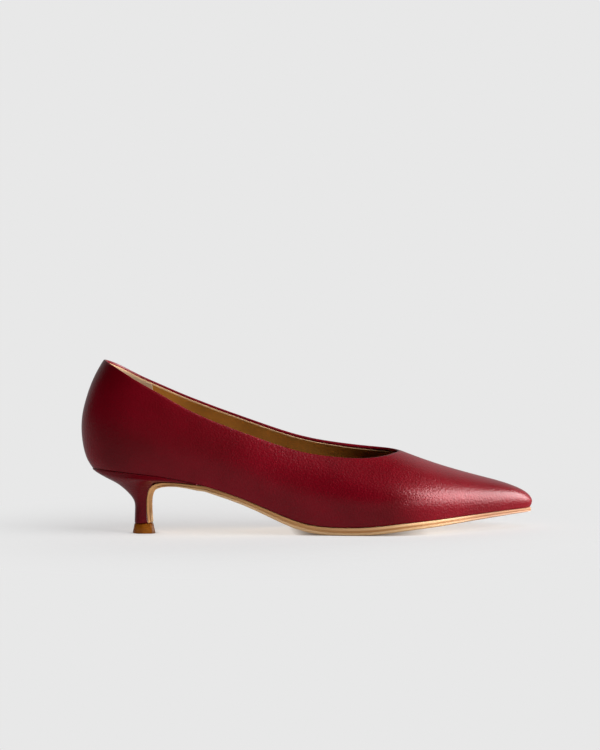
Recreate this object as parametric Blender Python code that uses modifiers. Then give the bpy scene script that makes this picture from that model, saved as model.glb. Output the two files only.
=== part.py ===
# Kitten heel pump for the right foot, about EU 37, standing empty on its sole.
# X runs to the toe, Y to the inner side of the foot and Z up; the floor is Z = 0.
# The origin is the middle of the heel tip's flat foot. Tables and sizes are in mm.
import math

import bmesh
import bpy
import numpy

MM = 0.001
GAP = 0.3

WALL = 1.8
BACK_FEATHER_X = -29.4
TOE_FEATHER_X = 222.2
WIDEST_SHARE = 0.25
THROAT_FRACTION = 0.70
FAN_START = 0.3
FAN_BEND = 0.05
PATH_STEPS = 60
UPPER_COLUMNS = 42
UPPER_ROWS = 17
LOW_ROW_POWER = 1.4
END_CROWDING = 0.9

SOLE_LEAVES_SEAT_X = 34.0
SOLE_PATH_OVERRUN = 3.0
FOREFOOT_STATIONS = 40
BREAST_STATIONS = 14
SLOPE_STEP = 0.05

INSOLE_THICKNESS = 2.0
INSOLE_CLEARANCE = 0.35
INSOLE_EDGE_BEVEL = 0.3
INSOLE_STATIONS = 34

HEEL_STEPS = 14
HEEL_RINGS = 16
HEEL_STEP_POWER = 1.6
HEEL_FULLNESS = 2.2
ROUND_AT_FOOT = 0.5
ROUND_AT_SEAT = 0.75
HEEL_LIP_X = 29.5
SEAT_RIM_BACK = 0.9
SEAT_RIM_FRONT = 0.3

TIP_HEIGHT = 5.65
TIP_BACK = 6.6
TIP_FRONT = 6.2
TIP_HALF_WIDTH = 5.8
TIP_TAPER = 1.0
TIP_CORNER = 2.4
TIP_EDGE = 0.35
TIP_ARC_STEPS = 8

# Edges that turn more than this many degrees stay crisp.
SHARP_UPPER = 60.0
SHARP_SOLE = 30.0
SHARP_HEEL = 40.0

BURGUNDY = (0.22, 0.003, 0.015)
DARK_BURGUNDY = (0.16, 0.003, 0.012)
SOLE_TAN = (0.78, 0.55, 0.32)
LINING_TAN = (0.55, 0.34, 0.13)
TIP_BROWN = (0.13, 0.04, 0.008)


class Table:
    """Rows read along their first column, with a smooth line through each other column."""

    def __init__(self, columns, rows):
        self.columns = columns.split()
        self.values = numpy.array(rows, dtype=float)
        self.keys = self.values[:, 0]
        self.bends = {}

    def bend(self, name):
        if name not in self.bends:
            self.bends[name] = natural_bends(self.keys, self.values[:, self.columns.index(name)])
        return self.bends[name]

    def at(self, name, key):
        values = self.values[:, self.columns.index(name)]
        bends = self.bend(name)
        key = min(max(key, self.keys[0]), self.keys[-1])
        i = int(min(numpy.searchsorted(self.keys, key, side="right"), len(self.keys) - 1)) - 1
        step = self.keys[i + 1] - self.keys[i]
        b = (key - self.keys[i]) / step
        a = 1.0 - b
        curve = ((a ** 3 - a) * bends[i] + (b ** 3 - b) * bends[i + 1]) * step * step / 6.0
        return a * values[i] + b * values[i + 1] + curve


def natural_bends(keys, values):
    count = len(keys)
    matrix = numpy.eye(count)
    right = numpy.zeros(count)
    for i in range(1, count - 1):
        before = keys[i] - keys[i - 1]
        after = keys[i + 1] - keys[i]
        matrix[i, i - 1] = before
        matrix[i, i] = 2.0 * (before + after)
        matrix[i, i + 1] = after
        rise_after = (values[i + 1] - values[i]) / after
        rise_before = (values[i] - values[i - 1]) / before
        right[i] = 6.0 * (rise_after - rise_before)
    return numpy.linalg.solve(matrix, right)


# The last by cross-section, from the back of the heel (0) to the toe point (1).
# square: the whole breadth, squared; centre: the middle of the breadth;
# foot: breadth at the feather edge as a share; widest: height of the widest place
# over the feather edge; slim: how much narrower than an oval the section's top is;
# lean: how far the top line lies towards the inner side; ridge: its height.
LAST = Table("fraction square centre foot widest slim lean ridge", [
    (0.00, 0.0, 0.0, 0.88, 22.0, -0.12, 0.0, 133.0),
    (0.04, 41.5 ** 2, 0.0, 0.88, 22.0, -0.12, 0.0, 128.0),
    (0.10, 52.5 ** 2, -0.3, 0.88, 22.0, -0.12, 0.0, 121.0),
    (0.20, 56.5 ** 2, -0.8, 0.87, 21.0, -0.06, 0.3, 108.0),
    (0.35, 57.0 ** 2, -1.8, 0.84, 20.0, 0.10, 1.2, 86.0),
    (0.50, 62.5 ** 2, -2.5, 0.85, 18.0, 0.24, 2.6, 66.0),
    (0.60, 72.0 ** 2, -2.6, 0.89, 15.0, 0.28, 3.6, 54.6),
    (0.68, 77.5 ** 2, -1.5, 0.925, 13.0, 0.26, 4.0, 47.3),
    (0.76, 71.5 ** 2, 0.5, 0.945, 11.0, 0.20, 3.8, 40.3),
    (0.85, 54.5 ** 2, 3.5, 0.955, 9.0, 0.10, 2.6, 33.6),
    (0.93, 35.5 ** 2, 5.5, 0.96, 7.0, 0.02, 1.2, 28.7),
    (0.98, 18.0 ** 2, 6.6, 0.96, 5.0, 0.0, 0.4, 25.6),
    (1.00, 0.0, 7.0, 0.96, 3.0, 0.0, 0.0, 24.1),
])

BACK_LINE = Table("z x", [
    (38.0, -29.4), (41.5, -31.7), (48.0, -34.0), (59.0, -35.4), (69.0, -34.7),
    (78.5, -32.2), (90.7, -27.4), (99.7, -22.1), (115.0, -13.0), (133.0, -6.0),
])

TOE_LINE = Table("z x", [
    (10.9, 222.3), (14.0, 224.3), (16.0, 224.0), (18.4, 222.3),
    (21.0, 218.9), (24.1, 211.8),
])

# Where the opening's edge lies on each section: the square of the share of the
# section that is left above the edge, on the foot's outer and inner side.
COLLAR = Table("fraction outer inner", [
    (0.00, 0.2265, 0.2265), (0.04, 0.243, 0.2355), (0.09, 0.268, 0.2545), (0.15, 0.295, 0.270),
    (0.22, 0.3235, 0.277), (0.33, 0.320, 0.255), (0.43, 0.2807, 0.211), (0.52, 0.224, 0.158),
    (0.60, 0.1535, 0.096), (0.65, 0.0853, 0.0515), (0.68, 0.034, 0.0205), (0.70, 0.0, 0.0),
])

# The line where the upper meets what is below it, and the sole leather's thickness.
BOTTOM = Table("x z thick", [
    (-32.0, 37.9, 3.0), (-20.0, 37.3, 3.0), (-5.0, 35.6, 3.0), (10.0, 33.7, 3.0),
    (20.0, 31.7, 3.0), (30.0, 29.4, 3.0), (40.0, 26.3, 3.1), (55.0, 20.9, 3.2),
    (70.0, 14.3, 3.5), (80.0, 9.8, 3.8), (88.0, 6.9, 4.0), (98.0, 4.9, 4.3),
    (108.0, 4.3, 4.5), (125.0, 4.6, 4.5), (143.0, 6.4, 4.2), (166.0, 8.2, 3.8),
    (184.0, 9.5, 3.3), (202.0, 10.6, 2.8), (214.0, 11.0, 2.4), (226.0, 10.7, 1.9),
])

# How far the sole leather stands out past the feather edge.
WELT = Table("x out", [
    (30.0, -1.8), (45.0, -1.2), (70.0, -0.3), (95.0, 0.3), (125.0, 0.7), (226.0, 0.7),
])

# The sole leather's edge: depth as a share of the thickness, and how far it stands out.
SOLE_EDGE = Table("depth out", [
    (0.00, -0.15), (0.05, 0.0), (0.28, 0.0), (0.40, -0.35), (0.56, -0.35),
    (0.66, 0.0), (0.84, -0.1), (1.00, -1.1),
])

# The heel by section, from its foot to its seat. Each section runs from the back
# line to the front face, which the sole leather covers as it turns down the heel.
# half and front_half: half the widest breadth and half the front's; centre: the
# middle of the front; leather: how thick the sole leather is there.
HEEL = Table("section back_x back_z front_x front_z half front_half centre leather", [
    (0, -5.5, 5.95, 1.9, 5.95, 5.2, 4.9, 0.0, 3.3),
    (1, -5.3, 11.8, 1.4, 12.0, 5.5, 5.1, 0.0, 3.3),
    (2, -5.2, 16.6, 1.3, 17.0, 6.3, 5.9, 0.0, 3.3),
    (3, -7.3, 21.4, 1.5, 21.6, 9.0, 8.0, 0.0, 3.3),
    (4, -13.9, 27.7, 2.8, 26.6, 15.0, 13.2, -0.1, 3.3),
    (5, -19.0, 30.7, 5.6, 29.3, 19.0, 17.2, -0.3, 3.1),
    (6, -23.3, 33.0, 10.5, 30.4, 22.0, 20.6, -0.6, 2.5),
    (7, -27.3, 35.3, 19.0, 30.1, 24.2, 22.3, -0.9, 2.2),
    (8, -29.4, 37.2, 29.5, 28.85, 25.0, 22.8, -1.1, 3.0),
])


def bottom_z(x):
    return BOTTOM.at("z", x)


def half_breadth(fraction):
    return 0.5 * math.sqrt(max(LAST.at("square", fraction), 0.0))


def feather_x(fraction):
    return BACK_FEATHER_X + (TOE_FEATHER_X - BACK_FEATHER_X) * fraction


def section(fraction, theta):
    """Height in mm, breadth share and climb share at theta, which runs from 0 to 1."""
    low = bottom_z(feather_x(fraction)) + GAP
    widest = LAST.at("widest", fraction)
    foot = LAST.at("foot", fraction)
    if theta < WIDEST_SHARE:
        up = theta / WIDEST_SHARE
        return low + widest * up, foot + (1.0 - foot) * math.sin(0.5 * math.pi * up), 0.0
    angle = 0.5 * math.pi * (theta - WIDEST_SHARE) / (1.0 - WIDEST_SHARE)
    climb = math.sin(angle)
    share = max(math.cos(angle), 0.0) * (1.0 - LAST.at("slim", fraction) * climb * climb)
    if theta >= 1.0:
        share = 0.0
    rise = LAST.at("ridge", fraction) - low - widest
    return low + widest + rise * climb, share, climb


def last_point(fraction, theta, side):
    """A point of the last; side is -1 for the outer half and 1 for the inner half."""
    back_x = BACK_LINE.at("x", section(0.0, theta)[0])
    toe_x = TOE_LINE.at("x", section(1.0, theta)[0])
    z, share, climb = section(fraction, theta)
    x = back_x + (toe_x - back_x) * fraction
    y = LAST.at("centre", fraction) + LAST.at("lean", fraction) * climb * climb
    return x, y + side * half_breadth(fraction) * share, z


def crowded(position):
    """0 to 1 again, with the steps close together at both ends."""
    return position - END_CROWDING * math.sin(2.0 * math.pi * position) / (2.0 * math.pi)


def crowded_end(position):
    """0 to 1 again, with the steps close together at 0 only."""
    return 1.0 - math.cos(0.5 * math.pi * position)


def collar_share(fraction, side):
    if fraction >= THROAT_FRACTION:
        return 1.0
    left = COLLAR.at("outer" if side < 0 else "inner", fraction)
    return 1.0 - math.sqrt(max(left, 0.0))


def upper_column(position, side):
    """Points of the last from the feather edge up to the opening's edge.

    At position 0 the column climbs the back of the heel; at 1 it climbs the toe and
    follows the top line back to the throat. Those between bend over from one to the other.
    """
    eased = 0.5 * (1.0 - math.cos(math.pi * position))
    late = max(position - FAN_START, 0.0) / (1.0 - FAN_START)
    fan = late * late * (3.0 - 2.0 * late)
    top = THROAT_FRACTION * eased
    foot = eased * (THROAT_FRACTION + (1.0 - THROAT_FRACTION) * fan)
    top_share = collar_share(top, side)
    points = []
    for i in range(PATH_STEPS + 1):
        angle = 0.5 * math.pi * i / PATH_STEPS
        ahead = math.cos(angle)
        above = math.sin(angle)
        if position < 1.0:
            bend = 2.0 + FAN_BEND / (1.0 - position)
            reach = (ahead ** bend + above ** bend) ** (1.0 / bend)
        else:
            reach = max(ahead, above)
        fraction = top + (foot - top) * min(ahead / reach, 1.0)
        points.append(last_point(fraction, top_share * min(above / reach, 1.0), side))
    reach = [0.0]
    for first, second in zip(points, points[1:]):
        reach.append(reach[-1] + math.dist(first, second))
    rows = range(UPPER_ROWS + 1)
    marks = [reach[-1] * (row / UPPER_ROWS) ** LOW_ROW_POWER for row in rows]
    axes = [numpy.interp(marks, reach, [point[axis] for point in points]) for axis in range(3)]
    return list(zip(*axes))


def add_face(bm, corners):
    """A face from corners in order, leaving out any corner that repeats."""
    distinct = [v for n, v in enumerate(corners) if v not in corners[:n]]
    if len(distinct) > 2:
        bm.faces.new(distinct)


def join_rows(bm, rows, closed):
    """Faces between rows of vertices that all have the same count."""
    for first, second in zip(rows, rows[1:]):
        count = len(first)
        for i in range(count if closed else count - 1):
            j = (i + 1) % count
            add_face(bm, [first[i], first[j], second[j], second[i]])


def cap_ring(bm, ring):
    """Strips across a ring that starts at its one middle point and is mirrored about it."""
    for i in range(len(ring) // 2):
        add_face(bm, [ring[i], ring[i + 1], ring[-i - 1], ring[-i]])


def loft(bm, rings):
    """A closed body through rings given in mm, with both ends capped."""
    rows = [[bm.verts.new((x * MM, y * MM, z * MM)) for x, y, z in ring] for ring in rings]
    join_rows(bm, rows, True)
    cap_ring(bm, rows[0])
    cap_ring(bm, rows[-1])


def plain_material(name, colour, roughness):
    material = bpy.data.materials.new(name)
    material.use_nodes = True
    shader = material.node_tree.nodes["Principled BSDF"]
    shader.inputs["Base Color"].default_value = (*colour, 1.0)
    shader.inputs["Roughness"].default_value = roughness
    shader.inputs["Metallic"].default_value = 0.0
    return material


def finish(bm, name, material, collection, sharp_angle):
    bmesh.ops.remove_doubles(bm, verts=bm.verts, dist=1e-6)
    bmesh.ops.recalc_face_normals(bm, faces=bm.faces)
    mesh = bpy.data.meshes.new(name)
    bm.to_mesh(mesh)
    bm.free()
    mesh.materials.append(material)
    mesh.shade_smooth()
    mesh.set_sharp_from_angle(angle=math.radians(sharp_angle))
    piece = bpy.data.objects.new(name, mesh)
    collection.objects.link(piece)
    return piece


def offset_loop(points, distances):
    """A closed loop in its plane moved outward by each point's own distance."""
    count = len(points)
    area = sum(points[i][0] * points[(i + 1) % count][1]
               - points[(i + 1) % count][0] * points[i][1] for i in range(count))
    turn = 1.0 if area > 0.0 else -1.0
    normals = []
    for i in range(count):
        along = (points[(i + 1) % count][0] - points[i][0], points[(i + 1) % count][1] - points[i][1])
        length = math.hypot(*along)
        normals.append((turn * along[1] / length, -turn * along[0] / length))
    moved = []
    for i, (point, distance) in enumerate(zip(points, distances)):
        before = normals[i - 1]
        after = normals[i]
        spread = 1.0 + before[0] * after[0] + before[1] * after[1]
        moved.append((point[0] + distance * (before[0] + after[0]) / spread,
                      point[1] + distance * (before[1] + after[1]) / spread))
    return moved


def build_upper(material, collection):
    """One skin over the last, from the feather edge to the opening, given its wall."""
    bm = bmesh.new()
    for side in (-1, 1):
        columns = []
        for i in range(UPPER_COLUMNS + 1):
            points = upper_column(i / UPPER_COLUMNS, side)
            columns.append([bm.verts.new((x * MM, y * MM, z * MM)) for x, y, z in points])
        join_rows(bm, columns, False)
    piece = finish(bm, "upper", material, collection, SHARP_UPPER)
    wall = piece.modifiers.new("wall", "SOLIDIFY")
    wall.thickness = WALL * MM
    wall.offset = -1.0
    wall.use_even_offset = True
    wall.use_rim = True
    return piece


def into_heel(key):
    """The way into the heel, square to the face that the leather lies on."""
    low = max(key - SLOPE_STEP, 0.0)
    high = min(key + SLOPE_STEP, HEEL.keys[-1])
    run = HEEL.at("front_x", high) - HEEL.at("front_x", low)
    rise = HEEL.at("front_z", high) - HEEL.at("front_z", low)
    length = math.hypot(run, rise)
    return -rise / length, run / length


class Strip:
    """Sole leather laid along its path: distance along it, across it and down into it."""

    def __init__(self):
        path = []
        for i in range(BREAST_STATIONS + 1):
            key = HEEL.keys[-1] * i / BREAST_STATIONS
            path.append(tuple(HEEL.at(name, key) for name in ("front_x", "front_z", "leather")))
        run = TOE_FEATHER_X + SOLE_PATH_OVERRUN - SOLE_LEAVES_SEAT_X
        for i in range(FOREFOOT_STATIONS + 1):
            x = SOLE_LEAVES_SEAT_X + run * i / FOREFOOT_STATIONS
            path.append((x, bottom_z(x), BOTTOM.at("thick", x)))
        self.reach = [0.0]
        for first, second in zip(path, path[1:]):
            self.reach.append(self.reach[-1] + math.dist(first[:2], second[:2]))
        self.path = path
        rows = [(along, *place) for along, place in zip(self.reach, path)]
        self.line = Table("along x z thick", rows)

    def along(self, x):
        """Distance along the path at a place forward of the heel."""
        places = [place[0] for place in self.path[BREAST_STATIONS:]]
        return float(numpy.interp(x, places, self.reach[BREAST_STATIONS:]))

    def point(self, along, across, depth):
        """A point in mm, its depth given as a share of the thickness."""
        ahead = min(along + SLOPE_STEP, self.reach[-1])
        behind = max(along - SLOPE_STEP, 0.0)
        run = self.line.at("x", ahead) - self.line.at("x", behind)
        rise = self.line.at("z", ahead) - self.line.at("z", behind)
        down = depth * self.line.at("thick", along) / math.hypot(run, rise)
        x = self.line.at("x", along) + down * rise
        z = self.line.at("z", along) - down * run
        return x, across, max(z, 0.0)


def build_outsole(material, collection):
    """Leather cut to the foot's outline, then laid along the sole and down the heel."""
    strip = Strip()
    first = (SOLE_LEAVES_SEAT_X - BACK_FEATHER_X) / (TOE_FEATHER_X - BACK_FEATHER_X)
    steps = range(FOREFOOT_STATIONS + 1)
    fractions = [1.0 - (1.0 - first) * crowded_end(i / FOREFOOT_STATIONS) for i in steps]
    halves = []
    for side in (-1, 1):
        cut = []
        for fraction in fractions:
            x, y = last_point(fraction, 0.0, side)[:2]
            cut.append(((strip.along(x), y), WELT.at("out", x)))
        for i in range(BREAST_STATIONS, -1, -1):
            key = HEEL.keys[-1] * i / BREAST_STATIONS
            y = HEEL.at("centre", key) + side * HEEL.at("front_half", key)
            cut.append(((strip.reach[i], y), 0.0))
        halves.append(cut)
    cut = halves[0] + halves[1][:0:-1]
    outline = offset_loop([place for place, out in cut], [out for place, out in cut])
    rings = []
    for depth in SOLE_EDGE.keys:
        moved = offset_loop(outline, [SOLE_EDGE.at("out", depth)] * len(outline))
        rings.append([strip.point(along, across, depth) for along, across in moved])
    bm = bmesh.new()
    loft(bm, rings)
    return finish(bm, "outsole", material, collection, SHARP_SOLE)


def build_insole(material, collection):
    """A board on the sole and the heel's seat, inside the wall."""
    fractions = [crowded(i / INSOLE_STATIONS) for i in range(INSOLE_STATIONS + 1)]
    outer = [last_point(fraction, 0.0, -1)[:2] for fraction in fractions]
    inner = [last_point(fraction, 0.0, 1)[:2] for fraction in fractions]
    outline = outer + inner[-2:0:-1]
    inset = WALL + INSOLE_CLEARANCE
    bevel = INSOLE_EDGE_BEVEL
    edge = [(0.0, inset + bevel), (bevel, inset), (INSOLE_THICKNESS - bevel, inset),
            (INSOLE_THICKNESS, inset + bevel)]
    rings = []
    for height, inward in edge:
        moved = offset_loop(outline, [-inward] * len(outline))
        rings.append([(x, y, bottom_z(x) + GAP + height) for x, y in moved])
    bm = bmesh.new()
    loft(bm, rings)
    return finish(bm, "insole", material, collection, SHARP_SOLE)


def heel_section(key, side, share):
    """A point of the heel's section, from the back (share 0) to the front corner (1)."""
    top = HEEL.keys[-1]
    inward = into_heel(key)
    front_x = HEEL.at("front_x", key) + GAP * inward[0]
    front_z = HEEL.at("front_z", key) + GAP * inward[1]
    back_x = HEEL.at("back_x", key)
    back_z = HEEL.at("back_z", key)
    half = HEEL.at("half", key)
    round_share = ROUND_AT_FOOT + (ROUND_AT_SEAT - ROUND_AT_FOOT) * key / top
    left = max(1.0 - share / round_share, 0.0)
    full = (1.0 - left ** HEEL_FULLNESS) ** (1.0 / HEEL_FULLNESS)
    taper = max(share - round_share, 0.0) / (1.0 - round_share)
    y = HEEL.at("centre", key) * share
    y += side * (half * full + (HEEL.at("front_half", key) - half) * taper)
    x = back_x + (front_x - back_x) * share
    z = back_z + (front_z - back_z) * share
    seat = seat_point(side, share)
    blend = max(key - top + 1.0, 0.0)
    rim = SEAT_RIM_BACK + (SEAT_RIM_FRONT - SEAT_RIM_BACK) * share
    return (x + (seat[0] - x) * blend, y + (seat[1] - y) * blend,
            z + (seat[2] - rim - z) * blend)


def seat_point(side, share):
    """A point on the seat's edge, under the upper's feather edge."""
    x = BACK_FEATHER_X + (HEEL_LIP_X - BACK_FEATHER_X) * share
    fraction = (x - BACK_FEATHER_X) / (TOE_FEATHER_X - BACK_FEATHER_X)
    y = last_point(fraction, 0.0, side)[1]
    return x, y, bottom_z(x)


def build_heel(material, collection):
    """Sections from the slim foot out to the seat, whose top follows the sole's line."""
    shares = [(i / HEEL_STEPS) ** HEEL_STEP_POWER for i in range(HEEL_STEPS + 1)]
    keys = [HEEL.keys[-1] * i / HEEL_RINGS for i in range(HEEL_RINGS + 1)]
    rings = []
    for key in keys:
        outer = [heel_section(key, -1, share) for share in shares]
        inner = [heel_section(key, 1, share) for share in shares]
        rings.append(outer + inner[:0:-1])
    outer = [seat_point(-1, share) for share in shares]
    inner = [seat_point(1, share) for share in shares]
    rings.append(outer + inner[:0:-1])
    bm = bmesh.new()
    loft(bm, rings)
    return finish(bm, "heel", material, collection, SHARP_HEEL)


def tip_outline(back, front, half, corner):
    """The tip's D shape: round at the back, with rounded corners at the front."""
    outer = []
    for i in range(TIP_ARC_STEPS + 1):
        angle = 0.5 * math.pi * i / TIP_ARC_STEPS
        outer.append((-back + half * (1.0 - math.cos(angle)), -half * math.sin(angle)))
    for i in range(TIP_ARC_STEPS + 1):
        angle = 0.5 * math.pi * i / TIP_ARC_STEPS
        outer.append((front - corner * (1.0 - math.sin(angle)), -half + corner * (1.0 - math.cos(angle))))
    outer.append((front, 0.0))
    return outer + [(x, -y) for x, y in outer[-2:0:-1]]


def build_top_piece(material, collection):
    """The wearing tip under the heel, a little wider at the floor."""
    foot = tip_outline(TIP_BACK, TIP_FRONT, TIP_HALF_WIDTH, TIP_CORNER)
    head = tip_outline(TIP_BACK - TIP_TAPER, TIP_FRONT - TIP_TAPER,
                       TIP_HALF_WIDTH - 0.5 * TIP_TAPER, TIP_CORNER)
    rings = []
    for z, outline, inward in ((0.0, foot, TIP_EDGE), (TIP_EDGE, foot, 0.0),
                               (TIP_HEIGHT - TIP_EDGE, head, 0.0), (TIP_HEIGHT, head, TIP_EDGE)):
        moved = offset_loop(outline, [-inward] * len(outline))
        rings.append([(x, y, z) for x, y in moved])
    bm = bmesh.new()
    loft(bm, rings)
    return finish(bm, "top_piece", material, collection, SHARP_HEEL)


def build():
    for item in list(bpy.data.objects):
        bpy.data.objects.remove(item)
    collection = bpy.data.collections.new("kitten_heel_pump")
    bpy.context.scene.collection.children.link(collection)
    burgundy = plain_material("burgundy_leather", BURGUNDY, 0.15)
    heel_cover = plain_material("heel_cover_leather", DARK_BURGUNDY, 0.15)
    sole_leather = plain_material("sole_leather", SOLE_TAN, 0.5)
    lining = plain_material("lining_leather", LINING_TAN, 0.55)
    rubber = plain_material("brown_rubber", TIP_BROWN, 0.45)
    build_upper(burgundy, collection)
    build_outsole(sole_leather, collection)
    build_heel(heel_cover, collection)
    build_top_piece(rubber, collection)
    build_insole(lining, collection)


build()
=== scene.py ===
import math

import bmesh
import bpy
from mathutils import Matrix, Vector


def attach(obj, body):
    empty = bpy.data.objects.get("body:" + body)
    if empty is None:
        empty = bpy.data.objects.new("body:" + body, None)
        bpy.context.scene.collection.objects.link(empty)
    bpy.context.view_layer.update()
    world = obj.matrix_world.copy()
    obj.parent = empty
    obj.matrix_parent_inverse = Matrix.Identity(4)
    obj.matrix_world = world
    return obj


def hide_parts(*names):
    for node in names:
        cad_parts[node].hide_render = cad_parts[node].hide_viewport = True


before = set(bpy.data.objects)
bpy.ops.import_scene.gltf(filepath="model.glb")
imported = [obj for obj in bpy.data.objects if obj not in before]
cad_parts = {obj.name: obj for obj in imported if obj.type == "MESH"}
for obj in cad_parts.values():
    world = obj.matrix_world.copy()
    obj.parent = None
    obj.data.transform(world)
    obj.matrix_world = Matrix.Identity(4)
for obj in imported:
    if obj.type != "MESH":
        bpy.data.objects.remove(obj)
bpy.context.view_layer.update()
print("frame loaded")

mm = 0.001
weldDistance = 0.00002


# Mesh helpers

def copyOfNode(node):
    bm = bmesh.new()
    bm.from_mesh(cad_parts[node].data)
    bmesh.ops.remove_doubles(bm, verts=bm.verts, dist=weldDistance)
    return bm


def stepsFrom(seeds, faces):
    # how many edges each vertex of these faces lies from the seeds
    steps = {v: 0 for v in seeds}
    edge = list(seeds)
    while edge:
        reached = []
        for v in edge:
            for link in v.link_edges:
                other = link.other_vert(v)
                if other not in steps and any(f in faces for f in link.link_faces):
                    steps[other] = steps[v] + 1
                    reached.append(other)
        edge = reached
    return steps


def quadsFromTriangles(bm, faces, rowSeeds, columnSeeds):
    # the lofted skins are grids, so an edge that changes both row and column is a diagonal
    faces = set(faces)
    row = stepsFrom(rowSeeds, faces)
    column = stepsFrom(columnSeeds, faces)
    diagonals = []
    for edge in {e for f in faces for e in f.edges}:
        first, second = edge.verts
        if len(edge.link_faces) == 2 and row[first] != row[second] and column[first] != column[second]:
            diagonals.append(edge)
    bmesh.ops.dissolve_edges(bm, edges=diagonals, use_verts=False)


def flood(start, turn):
    # the faces that can be reached without crossing an edge sharper than turn
    found = {start}
    waiting = [start]
    while waiting:
        face = waiting.pop()
        for edge in face.edges:
            if len(edge.link_faces) != 2 or edge.calc_face_angle(0.0) > turn:
                continue
            for other in edge.link_faces:
                if other not in found:
                    found.add(other)
                    waiting.append(other)
    return found


def newPiece(name, bm, materials):
    mesh = bpy.data.meshes.new(name)
    bm.to_mesh(mesh)
    bm.free()
    for material in materials:
        mesh.materials.append(material)
    piece = bpy.data.objects.new(name, mesh)
    bpy.context.scene.collection.objects.link(piece)
    return piece


def smoothShade(piece, sharpAngle):
    piece.data.shade_smooth()
    piece.data.set_sharp_from_angle(angle=math.radians(sharpAngle))


def subdivide(piece, levels):
    modifier = piece.modifiers.new("soften", "SUBSURF")
    modifier.levels = levels
    modifier.render_levels = levels


def creaseSharp(bm, turn, value, test=None):
    # a crease on the edges that turn more than this, or on those of them that pass the test
    layer = bm.edges.layers.float.get("crease_edge") or bm.edges.layers.float.new("crease_edge")
    for edge in bm.edges:
        if len(edge.link_faces) == 2 and edge.calc_face_angle(0.0) > turn:
            if test is None or test(edge):
                edge[layer] = value


# Material helpers

def startMaterial(name):
    material = bpy.data.materials.new(name)
    material.use_nodes = True
    nodes = material.node_tree.nodes
    return material, nodes, material.node_tree.links, nodes["Principled BSDF"]


def objectNoise(nodes, links, scale, detail, stretch=(1.0, 1.0, 1.0), roughness=0.5):
    place = nodes.new("ShaderNodeTexCoord")
    mapping = nodes.new("ShaderNodeMapping")
    mapping.inputs["Scale"].default_value = stretch
    noise = nodes.new("ShaderNodeTexNoise")
    noise.inputs["Scale"].default_value = scale
    noise.inputs["Detail"].default_value = detail
    noise.inputs["Roughness"].default_value = roughness
    links.new(place.outputs["Object"], mapping.inputs["Vector"])
    links.new(mapping.outputs["Vector"], noise.inputs["Vector"])
    return noise.outputs["Fac"]


def ramp(nodes, links, source, stops):
    node = nodes.new("ShaderNodeValToRGB")
    elements = node.color_ramp.elements
    while len(elements) < len(stops):
        elements.new(0.5)
    for element, (place, colour) in zip(elements, stops):
        element.position = place
        element.color = (*colour, 1.0)
    links.new(source, node.inputs["Fac"])
    return node.outputs["Color"]


def span(nodes, links, source, low, high, fromLow=0.0, fromHigh=1.0):
    node = nodes.new("ShaderNodeMapRange")
    node.inputs["From Min"].default_value = fromLow
    node.inputs["From Max"].default_value = fromHigh
    node.inputs["To Min"].default_value = low
    node.inputs["To Max"].default_value = high
    links.new(source, node.inputs["Value"])
    return node.outputs["Result"]


def mixColours(nodes, links, share, first, second, way="MIX"):
    node = nodes.new("ShaderNodeMix")
    node.data_type = "RGBA"
    node.blend_type = way
    for name, value in (("Factor", share), ("A", first), ("B", second)):
        wanted = "VALUE" if name == "Factor" else "RGBA"
        socket = next(s for s in node.inputs if s.name == name and s.type == wanted)
        if isinstance(value, bpy.types.NodeSocket):
            links.new(value, socket)
        elif isinstance(value, tuple):
            socket.default_value = (*value, 1.0)
        else:
            socket.default_value = value
    return next(s for s in node.outputs if s.type == "RGBA")


def bumpFrom(nodes, links, height, strength, distance, below=None):
    node = nodes.new("ShaderNodeBump")
    node.inputs["Strength"].default_value = strength
    node.inputs["Distance"].default_value = distance
    links.new(height, node.inputs["Height"])
    if below is not None:
        links.new(below, node.inputs["Normal"])
    return node.outputs["Normal"]


# Polished burgundy calf: upper and heel cover

calf = {
    "deep": (0.130, 0.0001, 0.0040),
    "fresh": (0.196, 0.0003, 0.0075),
    # the heel cover's calf is made darker by this factor: painted shade on the heel
    "heelPaintedShade": 0.86,
    "cloudScale": 26.0,
    "cloudEdges": (0.35, 0.68),
    "poreScale": 980.0,
    "poreDepth": 0.18 * mm,
    "poreBump": 0.8,
    "wrinkleScale": 640.0,
    "wrinkleStretch": (1.6, 1.0, 0.7),
    "wrinkleDepth": 0.05 * mm,
    "wrinkleBump": 0.6,
    "roughLow": 0.24,
    "roughHigh": 0.38,
    "gloss": 0.18,
}


def calfLeather(name, shade=1.0):
    material, nodes, links, shader = startMaterial(name)
    cloud = objectNoise(nodes, links, calf["cloudScale"], 3.0)
    # a shade below one darkens these tones: painted shade
    stops = [(edge, tuple(c * shade for c in calf[tone]))
             for edge, tone in zip(calf["cloudEdges"], ("deep", "fresh"))]
    links.new(ramp(nodes, links, cloud, stops), shader.inputs["Base Color"])
    fine = objectNoise(nodes, links, calf["poreScale"], 2.0)
    links.new(span(nodes, links, fine, calf["roughLow"], calf["roughHigh"]), shader.inputs["Roughness"])
    pores = nodes.new("ShaderNodeTexVoronoi")
    pores.feature = "SMOOTH_F1"
    pores.inputs["Scale"].default_value = calf["poreScale"]
    place = nodes.new("ShaderNodeTexCoord")
    links.new(place.outputs["Object"], pores.inputs["Vector"])
    grained = bumpFrom(nodes, links, pores.outputs["Distance"], calf["poreBump"], calf["poreDepth"])
    wrinkle = objectNoise(nodes, links, calf["wrinkleScale"], 4.0, calf["wrinkleStretch"])
    links.new(bumpFrom(nodes, links, wrinkle, calf["wrinkleBump"], calf["wrinkleDepth"], grained),
              shader.inputs["Normal"])
    shader.inputs["Specular IOR Level"].default_value = calf["gloss"]
    return material


# Soft lining leather, matt

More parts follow.
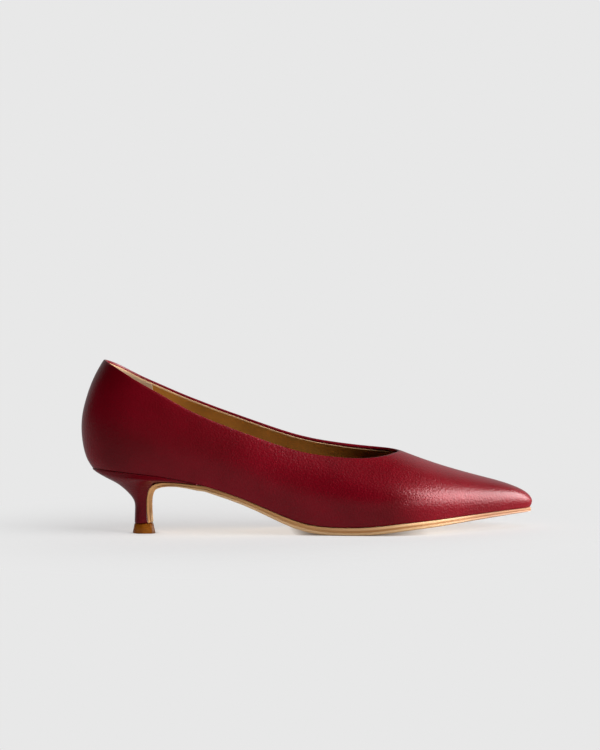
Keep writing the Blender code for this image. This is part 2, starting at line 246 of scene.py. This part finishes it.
liner = {
    "wall": ((0.32, 0.130, 0.020), (0.44, 0.185, 0.032)),
    "grip": ((0.38, 0.26, 0.16), (0.45, 0.32, 0.20)),
    "sock": ((0.42, 0.25, 0.09), (0.50, 0.31, 0.12)),
    # the lining's top strip, paleEdge tall, is paler than its wall
    "paleStrip": ((0.60, 0.38, 0.20), (0.60, 0.38, 0.20)),
    "roughness": {"wall": 0.5, "grip": 0.8, "sock": 0.5, "paleStrip": 0.6},
    "cloudScale": 45.0,
    "cloudEdges": (0.35, 0.65),
    "grainScale": 900.0,
    "grainDepth": 0.08 * mm,
    "grainBump": 0.5,
    "smoother": -0.06,
    "rougher": 0.08,
    "gloss": 0.1,
}


def liningLeather(name, kind):
    material, nodes, links, shader = startMaterial(name)
    roughness = liner["roughness"][kind]
    cloud = objectNoise(nodes, links, liner["cloudScale"], 4.0)
    stops = list(zip(liner["cloudEdges"], liner[kind]))
    links.new(ramp(nodes, links, cloud, stops), shader.inputs["Base Color"])
    grain = objectNoise(nodes, links, liner["grainScale"], 3.0)
    links.new(bumpFrom(nodes, links, grain, liner["grainBump"], liner["grainDepth"]), shader.inputs["Normal"])
    links.new(span(nodes, links, grain, roughness + liner["smoother"], roughness + liner["rougher"]),
              shader.inputs["Roughness"])
    shader.inputs["Specular IOR Level"].default_value = liner["gloss"]
    return material


calfUpper = calfLeather("polished burgundy calf")
# the heel cover is the upper's calf made darker: painted shade on the heel
calfHeelShaded = calfLeather("burgundy heel cover with painted shade", calf["heelPaintedShade"])
wallLining = liningLeather("lining leather", "wall")
paleStrip = liningLeather("pale lining top strip", "paleStrip")
gripSuede = liningLeather("heel grip suede", "grip")
sockLeather = liningLeather("sock leather", "sock")


# Upper: the calf skin with its folded top line, the lining and the heel grip

topLine = {
    "sharpTurn": math.radians(50.0),
    "insideOf": (20.0 * mm, 0.0, 55.0 * mm),
    "seamHalfWidth": 0.02 * mm,
    "seamFrontX": -5.0 * mm,
    "looksUp": 0.3,
    "joinFaceTurn": math.radians(60.0),
    "joinShapeTurn": math.radians(120.0),
    "leastSquare": 0.1,
    "mostOfEdge": 0.9,
    "foldDepth": 1.1 * mm,
    "paleEdge": 0.6 * mm,
    "rimCrease": 0.3,
    "liningLift": 0.06 * mm,
    "liningThickness": 0.6 * mm,
    "liningFootRows": 2,
    "gripDepth": 1.5 * mm,
    "gripLift": 0.6 * mm,
    "gripThickness": 0.5 * mm,
    "gripFront": (7.5 * mm, 0.0, 70.0 * mm),
    "gripLean": 0.10,
    "smoothing": 2,
}
skinOut, skinIn, skinRim = 0, 1, 2


def sortedUpper():
    # the CAD upper as quads, its faces marked as outside skin, inside skin or rim
    bm = copyOfNode("upper")
    backFace = min(bm.faces, key=lambda f: f.calc_center_median().x)
    outside = flood(backFace, topLine["sharpTurn"])
    heart = Vector(topLine["insideOf"])
    facing = [f for f in bm.faces if f not in outside
              and (heart - f.calc_center_median()).dot(f.normal) > 0.0]
    seed = min(facing, key=lambda f: abs(f.calc_center_median().x - heart.x)
               + abs(f.calc_center_median().z - heart.z))
    inside = flood(seed, topLine["sharpTurn"])
    for face in bm.faces:
        face.material_index = skinOut if face in outside else skinIn if face in inside else skinRim
    for mark, skin in ((skinOut, outside), (skinIn, inside)):
        skin = {f for f in bm.faces if f.material_index == mark}
        collar = collarEdges(skin)
        corners = {v for edge in collar for v in edge.verts}
        seam = {v for f in skin for v in f.verts
                if abs(v.co.y) < topLine["seamHalfWidth"] and v.co.x < topLine["seamFrontX"]}
        quadsFromTriangles(bm, skin, corners, seam)
    rim = [f for f in bm.faces if f.material_index == skinRim]
    bmesh.ops.join_triangles(bm, faces=rim, angle_face_threshold=topLine["joinFaceTurn"],
                             angle_shape_threshold=topLine["joinShapeTurn"])
    return bm


def collarEdges(skin):
    # the top edge of a skin: its border with the rim faces that look up
    edges = []
    for face in skin:
        for edge in face.edges:
            for other in edge.link_faces:
                if other.material_index == skinRim and other.normal.z > topLine["looksUp"]:
                    edges.append(edge)
    return edges


def cutBelowCollar(bm, collar, depth):
    # a new loop of edges on the inside skin, a given depth below its top edge
    ends = {}
    for edge in collar:
        for v in edge.verts:
            ends.setdefault(v, []).append(edge.other_vert(v).co)
    made = []
    for corner, beside in ends.items():
        direction = (beside[-1] - beside[0]).normalized()
        for edge in list(corner.link_edges):
            other = edge.other_vert(corner)
            if other in ends or any(f.material_index != skinIn for f in edge.link_faces):
                continue
            way = other.co - corner.co
            square = math.sqrt(max(1.0 - way.normalized().dot(direction) ** 2, topLine["leastSquare"]))
            share = min(depth / square / way.length, topLine["mostOfEdge"])
            made.append(bmesh.utils.edge_split(edge, corner, share)[1])
    bmesh.ops.connect_verts(bm, verts=made)
    return set(made), set(ends)


def insideSkin(depth, extra=None):
    # the inside skin from depth below the collar downwards, its foot above the sock
    bm = sortedUpper()
    collar = collarEdges({f for f in bm.faces if f.material_index == skinIn})
    foot = {v for f in bm.faces if f.material_index == skinIn for e in f.edges
            if any(o.material_index == skinRim and o.normal.z < 0.0 for o in e.link_faces)
            for v in e.verts}
    if extra:
        cutBelowCollar(bm, collar, depth + extra)
    cutLine, top = cutBelowCollar(bm, collar, depth)
    drop = [f for f in bm.faces if f.material_index != skinIn or any(v in top for v in f.verts)]
    low = set(foot)
    for row in range(topLine["liningFootRows"]):
        ring = [f for f in bm.faces if f.material_index == skinIn and any(v in low for v in f.verts)]
        drop += ring
        low |= {v for f in ring for v in f.verts}
    if extra:
        for face in bm.faces:
            if face not in drop and any(v in cutLine for v in face.verts):
                face.material_index = skinRim
    bmesh.ops.delete(bm, geom=list(set(drop)), context="FACES")
    return bm


def liftSkin(bm, distance):
    bm.normal_update()
    for v in bm.verts:
        v.co += v.normal * distance


def wallOn(piece, thickness):
    modifier = piece.modifiers.new("wall", "SOLIDIFY")
    modifier.thickness = thickness
    modifier.offset = 1.0
    modifier.use_even_offset = True


def rimFace(edge, up):
    return any(f.material_index == skinRim and f.normal.z * up > 0.0 for f in edge.link_faces)


bm = sortedUpper()
creaseSharp(bm, topLine["sharpTurn"], 1.0, lambda edge: rimFace(edge, -1.0))
creaseSharp(bm, topLine["sharpTurn"], topLine["rimCrease"], lambda edge: rimFace(edge, 1.0))
for face in bm.faces:
    face.material_index = 0
upperLeather = newPiece("upperLeather", bm, [calfUpper])
upperLeather.data.shade_smooth()
subdivide(upperLeather, topLine["smoothing"])
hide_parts("upper")
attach(upperLeather, "root")

bm = insideSkin(topLine["foldDepth"], topLine["paleEdge"])
for face in bm.faces:
    face.material_index = 0 if face.material_index == skinIn else 1
liftSkin(bm, topLine["liningLift"])
lining = newPiece("lining", bm, [wallLining, paleStrip])
lining.data.shade_smooth()
wallOn(lining, topLine["liningThickness"])
subdivide(lining, topLine["smoothing"])
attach(lining, "root")

bm = insideSkin(topLine["gripDepth"])
for face in bm.faces:
    face.material_index = 0
bmesh.ops.bisect_plane(bm, geom=bm.verts[:] + bm.edges[:] + bm.faces[:], dist=weldDistance,
                       plane_co=Vector(topLine["gripFront"]),
                       plane_no=Vector((1.0, 0.0, topLine["gripLean"])), clear_outer=True)
liftSkin(bm, topLine["liningLift"] + topLine["gripLift"])
heelGrip = newPiece("heelGrip", bm, [gripSuede])
heelGrip.data.shade_smooth()
wallOn(heelGrip, topLine["gripThickness"])
subdivide(heelGrip, topLine["smoothing"])
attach(heelGrip, "root")
print("upper, lining and heel grip made")


# Sock: thin leather on the insole board, out to the lining

sock = {
    "thickness": 0.8 * mm,
    "flatTurn": math.radians(30.0),
}
bm = copyOfNode("insole")
topFace = max(bm.faces, key=lambda f: f.normal.z * f.calc_area())
topSet = flood(topFace, sock["flatTurn"])
bmesh.ops.delete(bm, geom=[f for f in bm.faces if f not in topSet], context="FACES")
sockPiece = newPiece("sock", bm, [sockLeather])
sockPiece.data.shade_smooth()
wallOn(sockPiece, sock["thickness"])
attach(sockPiece, "root")
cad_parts["insole"].data.materials[0] = sockLeather
print("sock made")


# Outsole: tan waxed leather with a grooved edge; its colour bands paint shade in the groove, on the waist's
# lip and towards the toe tip, and light on the breast

soleEdge = {
    "shares": [0.0, 0.05, 0.28, 0.40, 0.56, 0.66, 0.84, 1.0],
    "capBreadth": 3.0 * mm,
    "lip": (0.84, 0.53, 0.28),
    # on the waist the edge's top lip is darker: painted shade, fading out from waistEnd to toeStart
    "waistLipShade": (0.58, 0.30, 0.12),
    "waistEnd": 90.0 * mm,
    "toeStart": 145.0 * mm,
    # towards the toe tip the edge is darkened: painted shade
    "toeShadeSpan": (165.0 * mm, 195.0 * mm),
    "toeShadeTint": (0.62, 0.54, 0.60),
    # the groove's darker brown is painted shade in the recess
    "groove": (0.48, 0.23, 0.09),
    "band": (0.70, 0.45, 0.24),
    "corner": (0.50, 0.29, 0.13),
    "bottom": (0.62, 0.41, 0.22),
    # at the breast the edge is made lighter: painted light
    "breastLightEnd": (9.0 * mm, 15.0 * mm),
    "breastLightTint": (1.40, 1.45, 1.50),
    "cloudScale": 60.0,
    "cloudStretch": (0.5, 1.0, 1.0),
    "cloudTint": (0.86, 0.84, 0.80),
    "fibreScale": 700.0,
    "fibreStretch": (0.3, 1.0, 2.0),
    "fibreDepth": 0.08 * mm,
    "fibreBump": 0.4,
    "roughLow": 0.38,
    "roughHigh": 0.52,
    "gloss": 0.1,
    "sharpAngle": 28.0,
}
white = (1.0, 1.0, 1.0)


def breadth(face):
    ys = [v.co.y for v in face.verts]
    return max(ys) - min(ys)


def soleMaterial():
    material, nodes, links, shader = startMaterial("waxed sole leather with painted shade and light")
    depth = nodes.new("ShaderNodeAttribute")
    depth.attribute_name = "edgeDepth"
    bottom = [(0.66, soleEdge["band"]), (0.86, soleEdge["band"]),
              (0.97, soleEdge["corner"]), (1.0, soleEdge["bottom"])]
    toe = ramp(nodes, links, depth.outputs["Fac"], [
        (0.0, soleEdge["lip"]), (0.26, soleEdge["lip"]),
        (0.38, soleEdge["groove"]), (0.56, soleEdge["groove"])] + bottom)
    # the waist's bands: a darker lip over the groove, painted shade
    waist = ramp(nodes, links, depth.outputs["Fac"], [
        (0.0, soleEdge["waistLipShade"]), (0.40, soleEdge["waistLipShade"]), (0.56, soleEdge["groove"])] + bottom)
    place = nodes.new("ShaderNodeTexCoord")
    parts = nodes.new("ShaderNodeSeparateXYZ")
    links.new(place.outputs["Object"], parts.inputs["Vector"])
    # from waistEnd to toeStart the waist's painted shade gives way to the toe's bands
    forward = span(nodes, links, parts.outputs["X"], 0.0, 1.0, soleEdge["waistEnd"], soleEdge["toeStart"])
    bands = mixColours(nodes, links, forward, waist, toe)
    cloud = objectNoise(nodes, links, soleEdge["cloudScale"], 5.0, soleEdge["cloudStretch"])
    tint = ramp(nodes, links, cloud, [(0.3, soleEdge["cloudTint"]), (0.7, white)])
    # darker towards the toe tip: painted shade
    paintedToeShade = ramp(nodes, links, span(nodes, links, parts.outputs["X"], 0.0, 1.0, *soleEdge["toeShadeSpan"]),
                [(0.0, white), (1.0, soleEdge["toeShadeTint"])])
    tinted = mixColours(nodes, links, 1.0, bands, tint, "MULTIPLY")
    toeShadedColour = mixColours(nodes, links, 1.0, tinted, paintedToeShade, "MULTIPLY")
    # lighter at the breast: painted light
    breast = span(nodes, links, parts.outputs["X"], 1.0, 0.0, *soleEdge["breastLightEnd"])
    links.new(mixColours(nodes, links, breast, toeShadedColour, soleEdge["breastLightTint"], "MULTIPLY"),
              shader.inputs["Base Color"])
    fibre = objectNoise(nodes, links, soleEdge["fibreScale"], 3.0, soleEdge["fibreStretch"])
    links.new(bumpFrom(nodes, links, fibre, soleEdge["fibreBump"], soleEdge["fibreDepth"]),
              shader.inputs["Normal"])
    links.new(span(nodes, links, fibre, soleEdge["roughLow"], soleEdge["roughHigh"]),
              shader.inputs["Roughness"])
    shader.inputs["Specular IOR Level"].default_value = soleEdge["gloss"]
    return material


bm = copyOfNode("outsole")
depthLayer = bm.verts.layers.float.new("edgeDepth")
caps = [f for f in bm.faces if breadth(f) > soleEdge["capBreadth"]]
topCaps = [f for f in caps if f.normal.z - f.normal.x > 0.0]
ring = stepsFrom({v for f in topCaps for v in f.verts}, set(bm.faces) - set(topCaps))
for v in bm.verts:
    v[depthLayer] = soleEdge["shares"][min(ring[v], len(soleEdge["shares"]) - 1)]
outsole = newPiece("outsoleLeather", bm, [soleMaterial()])
smoothShade(outsole, soleEdge["sharpAngle"])
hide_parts("outsole")
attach(outsole, "root")
print("outsole made")


# Heel cover and wearing tip

heelLook = {
    "creaseTurn": math.radians(38.0),
    "seatTurn": math.radians(30.0),
    "seamHalfWidth": 0.05 * mm,
    "seamFrontX": -4.0 * mm,
    "sharpAngle": 50.0,
    "smoothing": 2,
}
bm = copyOfNode("heel")
topRim = max(bm.faces, key=lambda f: f.normal.z * f.calc_area())
seat = flood(topRim, heelLook["seatTurn"])
seatCorners = {v for f in seat for v in f.verts}
back = {v for v in bm.verts
        if abs(v.co.y) < heelLook["seamHalfWidth"] and v.co.x < heelLook["seamFrontX"]}
quadsFromTriangles(bm, set(bm.faces) - set(seat), seatCorners, back)
creaseSharp(bm, heelLook["creaseTurn"], 1.0)
heelCover = newPiece("heelCover", bm, [calfHeelShaded])
smoothShade(heelCover, heelLook["sharpAngle"])
subdivide(heelCover, heelLook["smoothing"])
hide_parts("heel")
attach(heelCover, "root")


tipLook = {
    "dark": (0.29, 0.078, 0.004),
    "light": (0.40, 0.128, 0.010),
    # the tip's front face is paler: painted light where the side lamp falls
    "front": (0.28, 0.14, 0.08),
    "litFrontStart": (4.0 * mm, 4.4 * mm),
    "cloudScale": 180.0,
    "cloudEdges": (0.35, 0.65),
    "grainScale": 1500.0,
    "grainDepth": 0.05 * mm,
    "grainBump": 0.3,
    "roughLow": 0.3,
    "roughHigh": 0.42,
    "gloss": 0.12,
    "sharpAngle": 35.0,
}


def tipMaterial():
    material, nodes, links, shader = startMaterial("brown wearing tip")
    cloud = objectNoise(nodes, links, tipLook["cloudScale"], 4.0)
    stops = list(zip(tipLook["cloudEdges"], (tipLook["dark"], tipLook["light"])))
    colour = ramp(nodes, links, cloud, stops)
    place = nodes.new("ShaderNodeTexCoord")
    parts = nodes.new("ShaderNodeSeparateXYZ")
    links.new(place.outputs["Object"], parts.inputs["Vector"])
    # the front face paler: painted light
    front = span(nodes, links, parts.outputs["X"], 0.0, 1.0, *tipLook["litFrontStart"])
    links.new(mixColours(nodes, links, front, colour, tipLook["front"]), shader.inputs["Base Color"])
    fine = objectNoise(nodes, links, tipLook["grainScale"], 2.0)
    links.new(bumpFrom(nodes, links, fine, tipLook["grainBump"], tipLook["grainDepth"]),
              shader.inputs["Normal"])
    links.new(span(nodes, links, fine, tipLook["roughLow"], tipLook["roughHigh"]), shader.inputs["Roughness"])
    shader.inputs["Specular IOR Level"].default_value = tipLook["gloss"]
    return material


bm = copyOfNode("top_piece")
tip = newPiece("wearingTip", bm, [tipMaterial()])
smoothShade(tip, tipLook["sharpAngle"])
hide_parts("top_piece")
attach(tip, "root")
print("heel and tip made")


# Studio: floor, backdrop and lights

studio = {
    "paper": 0.807,
    "floorGlow": 0.55,
    "floorPaint": 0.50,
    # near the contact the glow darkens to brown: painted contact shade, tinted as painted bounce light from
    # the sole
    "contactShadeReach": 4.0 * mm,
    "contactShadeSamples": 16,
    "contactShadeColour": (0.12, 0.09, 0.07),
    "nearGloss": 0.20,
    "frontGloss": 0.08,
    "backGloss": 0.42,
    "spill": 17.0,
    "spillPlace": (0.50, -0.21, 0.0),
    "spillReach": (0.215, 0.315),
    "shadowPlace": (0.095, 0.0, 0.0),
    "glowStart": 0.10,
    "glowEnd": 0.25,
    "glossTurn": 0.30,
    "halfWidth": 6.0,
    "backY": 4.0,
    "frontY": -3.0,
    "curve": 1.2,
    "curveSteps": 16,
    "height": 4.0,
    "roomGrey": 0.012,
}


def paperMaterial():
    # shadows show near the shoe; further out the paper glows evenly
    material = bpy.data.materials.new("studio paper")
    material.use_nodes = True
    nodes = material.node_tree.nodes
    links = material.node_tree.links
    nodes.remove(nodes["Principled BSDF"])
    output = nodes["Material Output"]
    place = nodes.new("ShaderNodeTexCoord")
    far = nodes.new("ShaderNodeVectorMath")
    far.operation = "DISTANCE"
    far.inputs[1].default_value = studio["shadowPlace"]
    links.new(place.outputs["Object"], far.inputs[0])
    share = nodes.new("ShaderNodeMapRange")
    share.interpolation_type = "SMOOTHSTEP"
    share.inputs["From Min"].default_value = studio["glowStart"]
    share.inputs["From Max"].default_value = studio["glowEnd"]
    links.new(far.outputs["Value"], share.inputs["Value"])
    paint = nodes.new("ShaderNodeBsdfDiffuse")
    paint.inputs["Color"].default_value = (studio["floorPaint"],) * 3 + (1.0,)
    # ambient occlusion darkens the glow where the shoe meets the paper: painted contact shade, its brown tint
    # painted bounce light
    contactShadeNode = nodes.new("ShaderNodeAmbientOcclusion")
    contactShadeNode.samples = studio["contactShadeSamples"]
    contactShadeNode.inputs["Distance"].default_value = studio["contactShadeReach"]
    glow = nodes.new("ShaderNodeEmission")
    links.new(ramp(nodes, links, contactShadeNode.outputs["AO"], [(0.0, studio["contactShadeColour"]), (1.0, (1.0, 1.0, 1.0))]),
              glow.inputs["Color"])
    near = nodes.new("ShaderNodeAddShader")
    links.new(paint.outputs["BSDF"], near.inputs[0])
    links.new(glow.outputs["Emission"], near.inputs[1])
    even = nodes.new("ShaderNodeEmission")
    path = nodes.new("ShaderNodeLightPath")  # the leather mirrors only part of the paper's glow
    links.new(span(nodes, links, path.outputs["Is Glossy Ray"], studio["floorGlow"], studio["nearGloss"]),
              glow.inputs["Strength"])
    parts = nodes.new("ShaderNodeSeparateXYZ")
    links.new(place.outputs["Object"], parts.inputs["Vector"])
    mirrored = span(nodes, links, parts.outputs["Y"], studio["frontGloss"], studio["backGloss"],
                    -studio["glossTurn"], studio["glossTurn"])
    evenStrength = span(nodes, links, path.outputs["Is Glossy Ray"], studio["paper"], 0.0)
    links.new(mirrored, evenStrength.node.inputs["To Max"])
    links.new(evenStrength, even.inputs["Strength"])
    both = nodes.new("ShaderNodeMixShader")
    links.new(share.outputs["Result"], both.inputs["Fac"])
    links.new(near.outputs["Shader"], both.inputs[1])
    links.new(even.outputs["Emission"], both.inputs[2])
    pool = nodes.new("ShaderNodeVectorMath")
    pool.operation = "DISTANCE"
    pool.inputs[1].default_value = studio["spillPlace"]
    links.new(place.outputs["Object"], pool.inputs[0])
    spillShare = nodes.new("ShaderNodeMath")  # the side box's pool of light on the paper, seen in the toe
    spillShare.operation = "MULTIPLY"
    links.new(span(nodes, links, pool.outputs["Value"], studio["spill"], 0.0, *studio["spillReach"]),
              spillShare.inputs[0])
    links.new(path.outputs["Is Glossy Ray"], spillShare.inputs[1])
    spill = nodes.new("ShaderNodeEmission")
    links.new(spillShare.outputs["Value"], spill.inputs["Strength"])
    whole = nodes.new("ShaderNodeAddShader")
    links.new(both.outputs["Shader"], whole.inputs[0])
    links.new(spill.outputs["Emission"], whole.inputs[1])
    links.new(whole.outputs["Shader"], output.inputs["Surface"])
    return material


def studioPaper():
    # one sheet: a flat floor that curves up into the backdrop
    bm = bmesh.new()
    bmesh.ops.create_grid(bm, x_segments=1, y_segments=1, size=1.0)
    for v in bm.verts:
        reach = studio["frontY"] if v.co.y < 0.0 else studio["backY"]
        v.co = Vector((v.co.x * studio["halfWidth"], reach, 0.0))
    backEdge = [e for e in bm.edges if all(v.co.y > 0.0 for v in e.verts)]
    axle = Vector((0.0, studio["backY"], studio["curve"]))
    bent = bmesh.ops.spin(bm, geom=backEdge, cent=axle, axis=Vector((1.0, 0.0, 0.0)),
                          angle=math.radians(90.0), steps=studio["curveSteps"])
    lastEdge = [g for g in bent["geom_last"] if isinstance(g, bmesh.types.BMEdge)]
    raised = bmesh.ops.extrude_edge_only(bm, edges=lastEdge)
    for v in [g for g in raised["geom"] if isinstance(g, bmesh.types.BMVert)]:
        v.co.z += studio["height"]
    bmesh.ops.remove_doubles(bm, verts=bm.verts, dist=1.0 * mm)
    bmesh.ops.recalc_face_normals(bm, faces=bm.faces)
    paper = newPiece("studioPaper", bm, [paperMaterial()])
    paper.data.shade_smooth()
    return paper


# place, aim and size of each lamp in metres, with its watts
# "paper" says if a lamp lights the paper alone or everything but the paper
heelGround = (0.08, 0.0, 0.0)
toeSide = (0.16, 0.0, 0.03)
lamps = {
    "paperTop": {"place": (0.48, -0.50, 1.38), "aim": heelGround, "size": (0.9, 0.9), "watts": 3.5,
                 "paper": "INCLUDE"},
    "paperSide": {"place": (2.60, -1.50, 0.85), "aim": heelGround, "size": (2.2, 1.3), "watts": 88.0,
                  "paper": "INCLUDE"},
    "topBox": {"place": (0.55, -0.75, 1.25), "aim": heelGround, "size": (1.0, 1.0), "watts": 6.0,
               "paper": "EXCLUDE"},
    "sideBox": {"place": (1.20, -0.22, 0.36), "aim": toeSide, "size": (1.0, 0.66), "watts": 28.0,
                "paper": "EXCLUDE"},
    "sideGloss": {"place": (1.30, -0.20, 0.54), "aim": toeSide, "size": (1.75, 1.15), "watts": 124.0},
}


def softBox(name, look):
    lamp = bpy.data.lights.new(name, "AREA")
    lamp.shape = "RECTANGLE"
    lamp.size, lamp.size_y = look["size"]
    lamp.energy = look["watts"]
    light = bpy.data.objects.new(name, lamp)
    bpy.context.scene.collection.objects.link(light)
    place = Vector(look["place"])
    way = Vector(look["aim"]) - place
    light.matrix_world = Matrix.Translation(place) @ way.to_track_quat("-Z", "Y").to_matrix().to_4x4()
    light.visible_camera = False
    light.visible_diffuse = "paper" in look  # the last lamp is only seen mirrored in the leather
    light.visible_glossy = "paper" not in look
    return light


def flagPaper(light, paper, state):
    flag = bpy.data.collections.new(light.name + "Flag")
    flag.objects.link(paper)
    light.light_linking.receiver_collection = flag
    flag.collection_objects[0].light_linking.link_state = state


paper = studioPaper()
for name, look in lamps.items():
    light = softBox(name, look)
    if "paper" in look:
        flagPaper(light, paper, look["paper"])

world = bpy.data.worlds.new("studio room")
world.use_nodes = True
world.node_tree.nodes["Background"].inputs["Color"].default_value = (studio["roomGrey"],) * 3 + (1.0,)
bpy.context.scene.world = world
bpy.context.scene.view_settings.view_transform = "Standard"
print("studio made")


# Camera at the photograph's angle, a little above the floor and slightly behind the heel

cameraView = {
    "place": (-0.0840, -2.4848, 0.2608),
    "turn": math.radians(-4.0),
    "tilt": math.radians(90.0 - 3.94),
    "roll": math.radians(-0.4),
    "lens": 262.2,
    "sensorWidth": 36.0,
}
lens = bpy.data.cameras.new("photoCamera")
lens.lens = cameraView["lens"]
lens.sensor_fit = "HORIZONTAL"
lens.sensor_width = cameraView["sensorWidth"]
lens.clip_end = 50.0
camera = bpy.data.objects.new("photoCamera", lens)
bpy.context.scene.collection.objects.link(camera)
camera.matrix_world = (Matrix.Translation(Vector(cameraView["place"]))
                       @ Matrix.Rotation(cameraView["turn"], 4, "Z")
                       @ Matrix.Rotation(cameraView["tilt"], 4, "X")
                       @ Matrix.Rotation(cameraView["roll"], 4, "Z"))
bpy.context.scene.camera = camera

print("scene ready")
